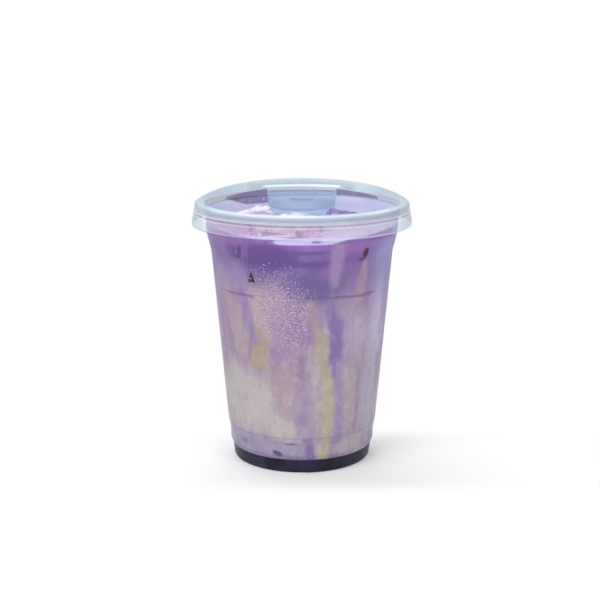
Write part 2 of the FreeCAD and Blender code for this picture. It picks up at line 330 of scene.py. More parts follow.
# Where the forms of the lid lie. A pair is the start and end of a soft edge: radii and
# distances in metres, heights in millimetres.
SHOULDER_MM = (116.6, 117.6)     # the skirt turns into the ring
RING_R = (0.0444, 0.0452)        # from the deck out to the ring
CREST_R = (0.0484, 0.0494)       # the outer edge of the ring
SKIRT_R = 0.0488                 # only the skirt reaches past this radius
LIP_BACK = (-0.020, 0.022)       # from the level front to the raised lip
LIP_PAINTED_HIGHLIGHT_MM = ((121.2, 121.6), (122.7, 122.3))      # the painted highlight along the lip
WELL_CENTRE = (0.0, 0.046, 0.0)
WELL_R = (0.0181, 0.0176)
WELL_TOP_MM = (120.4, 119.6)


def lid_finish():
    """The lid is thicker to the eye: a pale blue veil, milkier round its ring."""
    f = Finish("lid_plastic")
    place = f.place()
    x, y, z = f.split(place)
    flat = f.stretched(place, 1.0, 1.0, 0.0)
    reach = f.length(flat)
    height = z * TO_MM
    back = y.step(*LIP_BACK)
    across = x.size()
    side = across.step(0.034, 0.047)
    shoulder = height.step(*SHOULDER_MM)
    from_well = f.node("ShaderNodeVectorMath", {"operation": "SUBTRACT"},
                       {0: flat, 1: WELL_CENTRE})
    well = f.length(from_well).step(*WELL_R) * height.step(*WELL_TOP_MM)
    well = well * reach.step(0.0456, 0.0452)
    ring = reach.step(*RING_R) * (1.0 - well)
    crest_edge_shade = reach.step(*CREST_R) * back
    # Painted highlight: a near-white line along the raised lip, where it would catch the light.
    highlight_low, highlight_high = LIP_PAINTED_HIGHLIGHT_MM
    lip_highlight = height.step(*highlight_low) * height.step(*highlight_high) * reach.step(0.0484, 0.0480)
    lip_highlight = lip_highlight * across.step(0.021, 0.017) * back
    hem = height.step(HEM_MM + 0.75, HEM_MM + 0.55) * ring
    under_hem = height.step(HEM_MM + 0.34, HEM_MM + 0.24) * x.step(0.006, -0.004) * ring
    paint = f.mix(shoulder, colour(222, 220, 242), colour(214, 228, 244))
    paint = f.mix(side, paint, colour(162, 190, 206))
    paint = f.mix(back, paint, colour(158, 180, 196))
    # Painted shade: the outer edge of the crest at the back is darkened, the way the clear edge
    # looks when seen edge-on.
    paint = f.mix(crest_edge_shade * 0.7, paint, colour(128, 148, 160))
    paint = f.mix(lip_highlight * 0.9, paint, colour(240, 248, 252))
    paint = f.mix(1.0 - ring, paint, colour(214, 216, 244))
    paint = f.mix(well, paint, colour(166, 192, 218))
    # The stacking steps are painted as bright and dark lines: painted highlights and shade.
    for level, half, tint in STEP_LIGHT_AND_SHADE_LINES:
        line = (height - level).size().step(half * 1.5, half * 0.5) * (1.0 - back)
        paint = f.mix(line * 0.8 * ring, paint, colour(*tint))
        shoulder = shoulder.most(line * 0.9)
    paint = f.mix(hem * 0.7, paint, colour(210, 208, 230))
    paint = f.mix(under_hem * 0.9, paint, colour(104, 92, 128))
    least = (back.most(side) * 0.30).most(shoulder * 0.34).most(0.08).most(lip_highlight * 0.6)
    least = least.most(hem * 0.34) * ring + (1.0 - ring) * 0.05 + well * 0.45
    most = ring * 0.45 + 0.12 + well * 0.35
    return clear_sheet(f, paint, least, most, 2.2, 0.22, 0.25)


lid_mesh = copy_of("lid")
smooth(lid_mesh)
skirt_heights = [v.co.z for v in lid_mesh.vertices if math.hypot(v.co.x, v.co.y) > SKIRT_R]
HEM_MM = min(skirt_heights) / MM       # lower edge of the skirt
cup_plastic = cup_finish()
lid_plastic = lid_finish()

cup_mesh = copy_of("cup")
smooth(cup_mesh)
cup = piece("cup_wall", cup_mesh, cup_plastic)
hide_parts("cup")
lid = piece("lid_sheet", lid_mesh, lid_plastic)
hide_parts("lid")
print("cup", len(cup_mesh.polygons), "faces, lid", len(lid_mesh.polygons), "faces, hem at",
      round(HEM_MM, 1))

# %% [markdown]
# ## The marbled drink
# Ube milk, plain milk and coffee don't mix at once. Seen through the wall they make a deep
# violet collar, a blue-violet belt, lavender tongues that hang down and cream towards the
# foot. The colour is worked out from the angle round the cup and the height, both shaken
# by noise so that no edge is straight. Soft ovals then place the tongues and stains.

# %% Where a point of the drink is
def round_the_cup(f, place, wander_angle, wander_height):
    """Angle from the front in degrees and height in millimetres, both wandering a little."""
    x, y, z = f.split(place)
    angle = f.node("ShaderNodeMath", {"operation": "ARCTAN2"}, {0: x, 1: y.size()})
    broad = f.noise(place, 55.0) - 0.5
    fine = f.noise(f.stretched(place, 1.0, 1.0, 0.45), 190.0, 3.0) - 0.5
    rise = f.noise(f.stretched(place, 1.0, 1.0, 0.6), 90.0, 3.0) - 0.5
    return (angle * math.degrees(1.0) + (broad + fine * 0.7) * wander_angle,
            z * TO_MM + rise * wander_height)


def oval(angle, height, spot):
    """1 inside a soft oval of the wall, 0 outside it."""
    middle, level, half_angle, half_height, lean, soft = spot
    across = (angle - middle - (height - level) * lean) / half_angle
    along = (height - level) / half_height
    reach = (across * across + along * along) ** 0.5
    return reach.step(1.0 + soft, 1.0 - soft)


def band(angle, height, streak):
    """1 inside an upright streak with nearly straight sides, 0 outside it."""
    middle, low, high, half_angle, lean, soft = streak
    level = (low + high) / 2
    across = (angle - middle - (height - level) * lean).size() / half_angle
    run = (height - level).size() / ((high - low) / 2 + 2.0)
    swell = (1.0 - run ** 3.0).most(0.0)
    return (across + (1.0 - swell) * 0.8).step(1.0 + soft, 1.0 - soft) * swell.step(0.0, 0.35)


def painted_over(f, paint, outline, angle, height, spots, within=None):
    """Paint each spot of a list, an oval or a band, over the colours so far."""
    for *spot, tint, strength in spots:
        share = outline(angle, height, spot) * strength
        if within:
            share = share * within
        paint = f.mix(share, paint, colour(*tint))
    return paint


print("ovals and bands ready")

# %% Tongues and streaks of the drink
# Broad tongues: angle, height, half angle, half height, lean, softness, colour, strength
TONGUES = [
    # the collar under the surface; the first two are painted magenta glints at the liquid line
    (31, 105.8, 15, 2.6, 0.0, 0.5, (146, 98, 170), 0.6),
    (-40, 106.4, 15, 2.0, 0.0, 0.5, (132, 84, 156), 0.7),
    (-27, 95.5, 9, 7.0, 0.0, 0.5, (92, 70, 130), 0.75),
    (62, 97.0, 14, 17.0, 0.0, 0.6, (146, 137, 188), 0.9),
    (-26, 102.4, 25, 6.0, 0.0, 0.45, (88, 60, 124), 0.9),
    (-61, 99.0, 10, 8.0, 0.0, 0.5, (108, 90, 146), 0.8),
    # the blue-violet belt
    (8, 89.5, 20, 8.5, 0.0, 0.45, (94, 76, 132), 0.9),
    (14, 95.0, 6, 3.0, 0.3, 0.6, (122, 88, 146), 0.8),
    (-46, 91.0, 10, 8.0, 0.0, 0.6, (146, 122, 168), 0.8),
    (-62, 89.0, 9, 8.0, 0.0, 0.6, (150, 132, 166), 0.8),
    (-60, 70.0, 9, 14.0, 0.0, 0.6, (146, 122, 148), 0.8),
    # lavender and sand below it
    (-19, 76.0, 12, 13.0, -0.3, 0.6, (158, 135, 152), 0.85),
    (0, 70.0, 10, 11.0, -0.2, 0.6, (132, 106, 146), 0.8),
    (34, 75.0, 9, 5.0, 0.0, 0.5, (156, 142, 160), 0.8),
    (38, 66.0, 9, 9.0, 0.0, 0.6, (176, 158, 182), 0.8),
    (40, 52.0, 7, 9.0, 0.0, 0.6, (160, 142, 168), 0.7),
    (61, 66.0, 11, 17.0, 0.0, 0.7, (188, 178, 210), 0.9),
    (1, 51.0, 6.5, 9.0, 0.5, 0.5, (122, 98, 130), 0.7),
    # towards the foot
    (-46, 32.0, 24, 15.0, 0.0, 0.4, (176, 172, 168), 0.95),
    (-14, 21.0, 12, 6.0, 0.0, 0.5, (178, 171, 167), 0.9),
    (-12, 41.5, 11.5, 13.5, -0.15, 0.3, (158, 136, 148), 0.9),
    (2, 28.0, 7.5, 17.0, 0.0, 0.4, (152, 133, 160), 0.85),
    (60, 34.0, 8, 24.0, 0.0, 0.6, (166, 164, 184), 0.8),
    (-40, 12.4, 40, 4.6, 0.0, 0.3, (150, 140, 168), 0.9),
    (45, 12.4, 18, 4.6, 0.0, 0.4, (168, 158, 164), 0.9),
    (14, 11.5, 4.5, 5.0, 0.0, 0.4, (172, 160, 152), 0.9),
]

# Upright streaks: angle, low, high, half angle, lean, softness, colour, strength
STREAKS = [
    (-28.5, 62.0, 86.0, 4.4, -0.45, 0.7, (166, 146, 152), 0.8),
    (-31.5, 49.0, 68.0, 7.6, -0.1, 0.7, (158, 144, 122), 0.95),
    (20.8, 89.0, 110.0, 4.4, 0.05, 0.6, (148, 124, 164), 0.85),
    (40.0, 78.0, 98.0, 3.4, 0.28, 0.6, (160, 136, 154), 0.85),
    (-38.0, 62.0, 86.0, 3.8, -0.45, 0.6, (136, 112, 162), 0.8),
    (-54.0, 60.0, 87.0, 3.4, -0.3, 0.6, (164, 142, 152), 0.8),
    (-45.0, 50.0, 78.0, 3.0, -0.3, 0.6, (164, 142, 152), 0.7),
    (8.8, 60.0, 80.0, 3.6, -0.25, 0.6, (148, 126, 136), 0.85),
    (14.0, 42.0, 68.0, 5.0, -0.2, 0.6, (162, 148, 132), 0.9),
    (21.5, 46.0, 82.0, 4.2, -0.1, 0.6, (118, 96, 154), 0.9),
    (26.5, 14.0, 52.0, 4.2, -0.08, 0.5, (146, 126, 166), 0.9),
    (18.6, 5.0, 48.0, 4.2, 0.0, 0.6, (172, 158, 138), 0.95),
    (36.0, 20.0, 54.0, 3.6, 0.0, 0.6, (166, 151, 154), 0.9),
    (43.5, 18.0, 50.0, 1.6, 0.0, 0.6, (142, 122, 156), 0.7),
    (51.0, 22.0, 50.0, 3.6, 0.0, 0.6, (164, 156, 178), 0.8),
    (7.5, 5.0, 17.0, 3.4, -0.5, 0.6, (118, 96, 146), 0.9),
    (-36.0, 54.0, 70.0, 1.8, 0.2, 0.6, (132, 110, 160), 0.6),
]

# Small stains, sharper: angle, height, half angle, half height, lean, softness, colour, strength
STAINS = [
    (-39.5, 103.6, 1.5, 2.6, 0.25, 0.5, (76, 44, 98), 0.8),
    (-41.5, 100.8, 2.6, 0.9, 0.5, 0.4, (84, 50, 104), 0.8),
    (-47.0, 104.6, 4.0, 0.7, 0.6, 0.5, (104, 66, 124), 0.7),
    (40.9, 102.4, 2.0, 2.3, 0.2, 0.25, (52, 20, 50), 1.0),
    (38.4, 99.6, 3.2, 0.6, 0.4, 0.4, (84, 44, 92), 0.9),
    (-19.5, 9.8, 3.6, 1.4, -1.4, 0.4, (78, 54, 104), 0.9),
    (-51.0, 12.6, 5.0, 1.7, 0.0, 0.5, (118, 112, 138), 0.7),
    (-37.0, 9.5, 2.0, 2.4, 0.0, 0.6, (128, 122, 156), 0.6),
    (-9.0, 14.6, 4.6, 0.7, 0.0, 0.5, (112, 98, 132), 0.8),
    (26.0, 15.4, 5.0, 1.9, 0.0, 0.6, (138, 118, 160), 0.7),
    (41.0, 15.6, 5.0, 2.0, 0.0, 0.5, (170, 148, 162), 0.7),
]

# Dark lines across the collar: height, half width, colour, strength
COLLAR_LINES = [(104.0, 0.8, (96, 66, 134), 0.8), (98.6, 1.5, (88, 62, 126), 0.8)]
COLLAR_LINE_LEFT = (-30.0, -8.0)       # where they fade out, in degrees from the front
COLLAR_LINE_RIGHT = (19.0, 10.0)

MIST = (-16.0, 78.0, 19.0, 15.0, -0.6, 0.6)          # the patch that fine mist covers
WEDGE_ANGLE, WEDGE_TOP, WEDGE_FOOT = -32.6, 94.4, 89.4     # the small black wedge
MOULDED_LINE = 83.2        # height of the line that is moulded into the cup's wall
FOOT_LEDGE = 17.4          # height of the ledge over the cup's lower band
SURFACE_R = (0.0432, 0.0424)           # the flat top of the drink, inside the meniscus

LEVELS = [                 # height in millimetres and the drink's ground colour there
    (7, (134, 120, 150)), (16, (150, 137, 162)), (22, (163, 153, 162)), (40, (161, 149, 159)),
    (56, (152, 131, 156)), (72, (150, 128, 158)), (84, (142, 118, 160)), (92, (122, 98, 150)),
    (100, (112, 84, 146)), (105, (128, 92, 160)), (109, (140, 104, 172))]
TOP_MM = 115.0


def drink_finish():
    """Milk, ube and coffee, seen through the wall of the cup."""
    f = Finish("marbled_latte")
    place = f.place()
    angle, height = round_the_cup(f, place, 8.0, 8.0)
    near_angle, near_height = round_the_cup(f, place, 1.6, 1.0)
    _, y, z = f.split(place)
    front = y.step(0.006, -0.006)
    misty = oval(angle, height, MIST) * front
    stops = [(level / TOP_MM, colour(*tint)) for level, tint in LEVELS]
    paint = f.node("ShaderNodeValToRGB", {"stops": stops}, {0: height / TOP_MM})
    wisps = f.noise(f.stretched(place, 1.0, 1.0, 0.22), 150.0, 4.0, 0.6)
    clouds = f.noise(f.stretched(place, 1.0, 1.0, 0.5), 60.0, 3.0)
    low = height.step(100.0, 60.0)
    paint = painted_over(f, paint, oval, angle, height, TONGUES)
    paint = f.mix(wisps.step(0.54, 0.62) * low * 0.45, paint, colour(182, 172, 170))
    violet = wisps.step(0.46, 0.38) * (1.0 - angle.step(8.0, -12.0) * height.step(52.0, 40.0))
    paint = f.mix(violet * 0.40, paint, colour(128, 106, 156))
    paint = f.mix(clouds.step(0.55, 0.62) * 0.3 * low, paint, colour(176, 158, 172))
    paint = painted_over(f, paint, band, angle, height, STREAKS)
    grain = f.noise(f.stretched(place, 1.0, 1.0, 0.7), 330.0, 3.0, 0.6)
    paint = f.mix(grain.step(0.52, 0.66) * 0.16 * low, paint, colour(206, 190, 198))
    paint = f.mix(grain.step(0.48, 0.34) * 0.16, paint, colour(104, 80, 124))
    for level, half, tint, share in COLLAR_LINES:
        line = (near_height - level).size().step(half * 1.6, half * 0.4)
        line = line * near_angle.step(*COLLAR_LINE_LEFT) * near_angle.step(*COLLAR_LINE_RIGHT)
        paint = f.mix(line * share, paint, colour(*tint))
    paint = painted_over(f, paint, oval, near_angle, near_height, STAINS, front)
    dots = f.noise(place, 1500.0, 1.0)
    paint = f.mix(misty * dots.step(0.50, 0.62) * 0.5, paint, colour(184, 156, 178))
    half_wedge = ((WEDGE_TOP - near_height) * 0.60).most(0.01)
    wedge = ((near_angle - WEDGE_ANGLE).size() / half_wedge).step(1.15, 0.85)
    wedge = wedge * near_height.step(WEDGE_FOOT, WEDGE_FOOT + 0.5)
    paint = f.mix(wedge * front, paint, colour(30, 10, 54))
    # Painted shade: a broken dark line on the drink along the cup's moulded line.
    ring = (height * 0.2 + near_height * 0.8 - MOULDED_LINE).size().step(1.0, 0.25)
    broken = near_angle.step(0.0, 3.0) * near_angle.step(58.0, 50.0)
    broken = broken + near_angle.step(-30.0, -34.0) * near_angle.step(-60.0, -54.0)
    paint = f.mix(ring * broken * 0.6, paint, colour(98, 82, 110))
    # Painted shade: a dark line on the drink at the height of the cup's foot ledge.
    ledge = (near_height - FOOT_LEDGE).size().step(0.55, 0.15)
    paint = f.mix(ledge * 0.45, paint, colour(132, 118, 134))
    drift = f.node("ShaderNodeTexNoise", {}, {"Vector": place, "Scale": 40.0}).other("Color")
    swirl = f.node("ShaderNodeVectorMath", {"operation": "MULTIPLY_ADD"},
                   {0: drift, 1: (0.02, 0.02, 0.0), 2: place})
    milk = f.noise(swirl, 75.0, 3.0, 0.55)
    surface = f.mix(milk.step(0.40, 0.60), colour(150, 118, 180), colour(206, 190, 216))
    surface = f.mix(clouds.step(0.52, 0.64) * 0.6, surface, colour(176, 140, 170))
    reach = f.length(f.stretched(place, 1.0, 1.0, 0.0))
    on_top = (z * TO_MM).step(LIQUID_Z / MM - 0.60, LIQUID_Z / MM - 0.40)
    paint = f.mix(on_top * reach.step(*SURFACE_R), paint, surface)
    return f.done(f.shine({"Base Color": paint, "Roughness": 0.55, "IOR": 1.35}))


print(len(TONGUES), "tongues,", len(STREAKS), "streaks and", len(STAINS), "stains")

# %% The body of the drink
INTO_WALL = FILL_GAP + 0.15 * MM   # the drink reaches just into the plastic: no air gap
MENISCUS = 0.15 * MM
MENISCUS_RUN = 2.2 * MM            # it levels off this far from the wall
RELIEF_R = 42.5 * MM               # inside this radius the surface is a little uneven
RELIEF = 0.5 * MM
RELIEF_SCALE = 120.0
ROUND_STEPS = 240                  # faces round the drink, the dark foot layer and the film


def surface_relief(vertex):
    """Foam and thick milk leave the surface a little uneven."""
    reach = math.hypot(vertex.co.x, vertex.co.y)
    if vertex.co.z < LIQUID_Z - 0.1 * MM or reach > RELIEF_R:
        return
    vertex.co.z += RELIEF * noise.fractal(vertex.co * RELIEF_SCALE, 1.0, 2.0, 3)


def drink_outline():
    """Up the side, over the meniscus and in to the middle."""
    outline = [(0.0, DRINK_FLOOR_Z)]
    outline += [(r + INTO_WALL, h) for h, r in SIDE if h >= DRINK_FLOOR_Z]
    rim = outline[-1][0]
    outline.append((rim + 0.05 * MM, LIQUID_Z + MENISCUS))
    outline.append((rim - 0.9 * MM, LIQUID_Z + MENISCUS * 0.5))
    level_r = rim - MENISCUS_RUN
    outline.append((level_r, LIQUID_Z))
    outline += [(level_r * (1 - i / 24), LIQUID_Z) for i in range(1, 25)]
    return outline


latte_mesh = turned("latte_body", drink_outline(), ROUND_STEPS, surface_relief)
latte = piece("latte_body", latte_mesh, drink_finish())
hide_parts("latte")
print("drink", len(latte.data.polygons), "faces")

# %% [markdown]
# ## The dark layer in the foot
# A nearly black layer fills the foot of the cup, under the drink. It is cloudy, with violet
# and blue-black in it.

# %% The dark foot layer
PUSH_UP_END_R = 28.5 * MM          # the pushed-up floor ends inside this radius
LOWEST_DARK_FOOT = 0.3 * MM


def dark_foot_finish():
    """Nearly black, cloudy with violet and blue-black."""
    f = Finish("nearly_black_foot")
    place = f.place()
    blot = f.noise(f.stretched(place, 1.0, 1.0, 0.6), 120.0, 2.0)
    paint = f.mix(blot.step(0.40, 0.62), colour(10, 6, 28), colour(34, 30, 62))
    deep = f.noise(f.stretched(place, 1.0, 1.0, 0.3), 60.0, 1.0)
    paint = f.mix(deep.step(0.50, 0.62) * 0.6, paint, colour(24, 14, 40))
    return f.done(f.shine({"Base Color": paint, "Roughness": 0.5, "IOR": 1.35,
                           "Specular IOR Level": 0.2}))


def dark_foot_outline():
    """The dark layer's own side, pushed just into the plastic."""
    base = [(h, r) for h, r in rings("ube_syrup") if h < DRINK_FLOOR_Z]
    inner = sorted([ring for ring in base if ring[1] < PUSH_UP_END_R], key=lambda ring: ring[1])
    outer = sorted([ring for ring in base if ring[1] >= PUSH_UP_END_R])
    outline = [(0.0, inner[0][0] - INTO_WALL)]
    outline += [(r, h - INTO_WALL) for h, r in inner]
    outline += [(r + INTO_WALL, max(h - INTO_WALL, LOWEST_DARK_FOOT)) for h, r in outer]
    outline.append((inner_radius(DRINK_FLOOR_Z) + 0.15 * MM, DRINK_FLOOR_Z))
    outline.append((0.0, DRINK_FLOOR_Z))
    return outline


dark_foot_mesh = turned("dark_foot_layer", dark_foot_outline(), ROUND_STEPS)
dark_foot = piece("dark_foot_layer", dark_foot_mesh, dark_foot_finish())
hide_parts("ube_syrup")
print("dark_foot", len(dark_foot.data.polygons), "faces")

# %% [markdown]
# ## Ice
# The cubes that stand out of the drink are half melted: their faces are dished and uneven
# and milk clings to them. Each is a subdivided copy of its CAD solid, pushed about by noise.

# %% Ice
LONG_EDGE = 2.5 * MM       # edges over this are cut into smaller ones
DENT_SCALE = 90.0
DENT = 0.9                 # depth of the dents, in millimetres
MELTED_AWAY = 0.5          # each face lies this far inside the CAD cube, in millimetres


def ice_finish(name, pale, dark, share):
    """Clouded ice, stained by the drink."""
    f = Finish(name)
    place = f.place()
    stain = f.noise(place, 130.0, 3.0, 0.6)
    crack = f.noise(f.stretched(place, 1.0, 0.4, 1.6), 240.0, 3.0, 0.7)
    paint = f.mix(stain.step(share - 0.10, share + 0.10), colour(*pale), colour(*dark))
    paint = f.mix(crack.step(0.62, 0.70) * 0.5, paint, colour(120, 110, 150))
    return f.done(f.shine({"Base Color": paint, "Roughness": 0.12, "IOR": 1.31,
                           "Normal": f.bump(stain, 0.6 * MM, 0.5)}))


def melted(node, seed):
    """A CAD cube with finer faces and a melted, uneven surface."""
    mesh = copy_of(node)
    shape = bmesh.new()
    shape.from_mesh(mesh)
    bmesh.ops.triangulate(shape, faces=shape.faces)
    long_edges = [e for e in shape.edges if e.calc_length() > LONG_EDGE]
    bmesh.ops.subdivide_edges(shape, edges=long_edges, cuts=6, use_grid_fill=True)
    bmesh.ops.triangulate(shape, faces=shape.faces)
    centre = (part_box(node)[0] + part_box(node)[1]) / 2
    drift = Vector((seed * 0.37, seed * 0.11, seed * 0.23))
    for vertex in shape.verts:
        outwards = (vertex.co - centre).normalized()
        push = noise.fractal((vertex.co + drift) * DENT_SCALE, 1.0, 2.0, 3)
        vertex.co += outwards * (push * DENT - MELTED_AWAY) * MM
    shape.to_mesh(mesh)
    shape.free()
    smooth(mesh, 60.0)
    return mesh


ICE_LOOKS = {              # the clouded colour, the stained colour, how much is clouded
    "ice_left": ((218, 213, 232), (144, 130, 172), 0.52),
    "ice_middle": ((226, 222, 240), (176, 162, 204), 0.58),
    "ice_right": ((178, 164, 216), (80, 60, 146), 0.47),
    "ice_front": ((214, 204, 230), (176, 156, 196), 0.55),
}
for number, (node, look) in enumerate(ICE_LOOKS.items()):
    cube = piece(node + "_cube", melted(node, number + 1), ice_finish(node, *look))
    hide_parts(node)
    print(node, len(cube.data.polygons), "faces")

# %% [markdown]
# ## Foam on the wall
# Over the drink a thin film of foam and milk lines the inside of the neck. It is a real
# sheet, a quarter of a millimetre thick, whose thin places come from its alpha. Its upper
# part is upright and stands a little off the widening wall. Milk has also been caught in
# the corner under the raised lip, on both sides of the drinking well.

# %% Film
def strip(name, start, end, low, high, inner, thick, steps=160, levels=8):
    """A thin curved sheet on the wall, between two angles in degrees from the front.

    low and high give the heights of its edges at an angle, inner gives the wall's radius
    at a height. A sheet that runs all the way round closes on itself.
    """
    shape = bmesh.new()
    whole = end - start >= 360.0
    columns = steps if whole else steps + 1
    grids = []
    for depth in (0.0, thick):
        grid = []
        for i in range(columns):
            degrees = start + (end - start) * i / steps
            angle = math.radians(degrees)
            bottom, top = low(degrees), high(degrees)
            column = []
            for j in range(levels + 1):
                z = bottom + (top - bottom) * j / levels
                radius = inner(z) - depth
                column.append(shape.verts.new((radius * math.sin(angle),
                                               -radius * math.cos(angle), z)))
            grid.append(column)
        grids.append(grid)
    outer, under = grids
    for i in range(steps):
        k = (i + 1) % columns
        for j in range(levels):
            shape.faces.new((outer[i][j], outer[k][j], outer[k][j + 1], outer[i][j + 1]))
            shape.faces.new((under[i][j], under[i][j + 1], under[k][j + 1], under[k][j]))
        for j in (0, levels):
            shape.faces.new((outer[i][j], under[i][j], under[k][j], outer[k][j]))
    open_ends = () if whole else (0, steps)
    for i in open_ends:
        for j in range(levels):
            shape.faces.new((outer[i][j], outer[i][j + 1], under[i][j + 1], under[i][j]))
    bmesh.ops.recalc_face_normals(shape, faces=shape.faces)
    mesh = bpy.data.meshes.new(name)
    shape.to_mesh(mesh)
    shape.free()
    smooth(mesh)
    return mesh


# Marks in the film: angle, height, half angle, half height, lean, softness, colour, strength
FILM_MARKS = [
    (-19.5, 109.2, 3.4, 0.9, 0.04, 0.4, (108, 92, 150), 0.8),
    (8.5, 109.2, 3.4, 0.9, 0.04, 0.4, (108, 92, 150), 0.8),
    (-5.5, 111.1, 6.0, 0.28, 0.0, 0.5, (104, 84, 110), 0.8),
]
COFFEE_MARK = [(-17.0, 112.6, 8.0, 0.7, 0.02, 0.5, (136, 98, 96), 0.8)]
CRESCENT_MM = (111.4, 110.6)       # the pale milk begins under this height
COLLAR_MM = 106.8                  # lowest edge of the pale milk, over the violet collar
FILM_LOW = LIQUID_Z - 0.4 * MM
FILM_HIGH = 118.0 * MM
FILM_FADE_MM = (118.6, 116.6)
FILM_THICK = 0.25 * MM


def film_finish():
    """Pinkish foam at the front, pale milk at the back, with holes."""
    f = Finish("foam_film")
    place = f.place()
    x, y, z = f.split(place)
    back = y.step(-0.014, 0.016)
    side = x.size().step(0.030, 0.038)
    height = z * TO_MM
    angle, level = round_the_cup(f, place, 6.0, 1.6)
    specks = f.noise(f.stretched(place, 1.0, 1.0, 1.6), 620.0, 2.0, 0.6)
    blots = f.noise(f.stretched(place, 1.0, 1.0, 1.3), 210.0, 3.0, 0.6)
    clouds = f.noise(place, 70.0)
    paint = f.mix(clouds.step(0.44, 0.56), colour(182, 140, 186), colour(204, 180, 216))
    paint = f.mix(blots.step(0.53, 0.59) * 0.8, paint, colour(124, 88, 146))
    paint = f.mix(blots.step(0.45, 0.38) * 0.8, paint, colour(216, 196, 224))
    paint = f.mix(specks.step(0.58, 0.66) * 0.7, paint, colour(136, 92, 132))
    paint = f.mix(specks.step(0.42, 0.34) * 0.6, paint, colour(236, 218, 234))
    paint = f.mix(angle.step(8.0, 20.0) * 0.7, paint, colour(206, 200, 232))
    paint = f.mix(angle.step(-26.0, -38.0) * 0.6, paint, colour(168, 142, 190))
    paint = f.mix(level.step(*CRESCENT_MM) * 0.85, paint, colour(190, 182, 226))
    paint = painted_over(f, paint, oval, angle, level, FILM_MARKS)
    rise = (angle - 2.0).size()
    collar = rise.step(8.0, 28.0) * 3.0 + rise.step(24.0, 60.0) * 1.8 + COLLAR_MM
    paint = f.mix((collar - level).step(-0.5, 0.7), paint, colour(124, 90, 156))
    paint = painted_over(f, paint, oval, angle, level, COFFEE_MARK)
    pale = f.mix(clouds.step(0.4, 0.6), colour(214, 214, 236), colour(200, 198, 228))
    pale = f.mix(side * 0.85, pale, colour(206, 222, 246))
    pale = f.mix(x.size().step(0.024, 0.012), pale, colour(164, 192, 216))
    # The purple film high on the back left of the wall, painted dark for the shade it lies in
    # behind the lip: partly its colour, partly painted shade.
    slanted = (angle + (level - 113.6) * 4.0).step(-38.0, -35.0)
    purple_in_shade = angle.step(-18.0, -22.0) * slanted * level.step(113.4, 114.4)
    drops = specks.step(0.60, 0.66) * 0.7
    pale = f.mix(purple_in_shade, pale, f.mix(drops, colour(98, 82, 138), colour(190, 186, 220)))
    paint = f.mix(back, paint, pale)
    cover = (blots * 0.6 + specks * 0.4).step(0.30, 0.46)
    cover = (cover * 0.45 + 0.55).most(back)
    fade = height.step(*FILM_FADE_MM)
    return f.done(f.shine({"Base Color": paint, "Roughness": 0.5, "Alpha": cover * fade}))


film_mesh = strip("foam_film", 0.0, 360.0, lambda degrees: FILM_LOW, lambda degrees: FILM_HIGH,
                  lambda z: inner_radius(z) + 0.1 * MM, FILM_THICK, ROUND_STEPS)
film = piece("foam_film", film_mesh, film_finish())
print("film", len(film.data.polygons), "faces")

# %% Milk caught under the raised lip
LIP_START = 11.0           # the lip rises evenly behind this line, in millimetres
LIP_FOOT_MM = 117.0        # underside of the lip's inner slope there
LIP_RISE = 0.119
PLUG_OUTSIDE = 45.02 * MM
MILK_TOP_MM = 117.2        # the caught milk hangs down from here
MILK_THICK = 0.05 * MM
MILK_PLACES = (("right", 126.0, 158.0), ("left", 202.0, 234.0))    # degrees from the front


def under_lip(degrees):
    """Underside of the lip's slope at an angle from the front."""
    back = -PLUG_OUTSIDE / MM * math.cos(math.radians(degrees))
    return (LIP_FOOT_MM + LIP_RISE * (back - LIP_START)) * MM


def milk_foot(degrees):
    """The caught milk hangs lowest next to the well, in drips on the left."""
    near_well = 1.0 - min(abs(degrees - 180.0) - 22.0, 32.0) / 32.0
    hang = 1.6 * near_well
    if degrees > 180.0:
        hang += 2.6 * min(1.0, near_well * 1.8) * (0.75 + 0.25 * math.sin(degrees * 1.9))
    return (MILK_TOP_MM - hang) * MM


def shaded_caught_milk_finish():
    """Ube milk, painted dark for the shade under the lip, thinner towards its ends."""
    f = Finish("caught_milk_in_shade")
    blots = f.noise(f.place(), 190.0, 3.0)
    paint = f.mix(blots.step(0.42, 0.60), colour(70, 56, 112), colour(98, 84, 138))
    return f.done(f.shine({"Base Color": paint, "Roughness": 0.4}))


caught = shaded_caught_milk_finish()
for hand, start, end in MILK_PLACES:
    milk_mesh = strip("lip_milk_" + hand, start, end, milk_foot, under_lip,
                      lambda z: PLUG_OUTSIDE + MILK_THICK, MILK_THICK, 48, 4)
    milk = piece("lip_milk_" + hand, milk_mesh, caught)
    print("milk under the lip,", hand, len(milk_mesh.polygons), "faces")

# %% [markdown]
# ## Beads of water
# Cold plastic gathers beads of water from the air. They are scattered over a patch of the
# wall by Geometry Nodes: points on the patch, a small dome on each, of a random size. The
# result is turned into a plain mesh, so nothing is left to work out later.

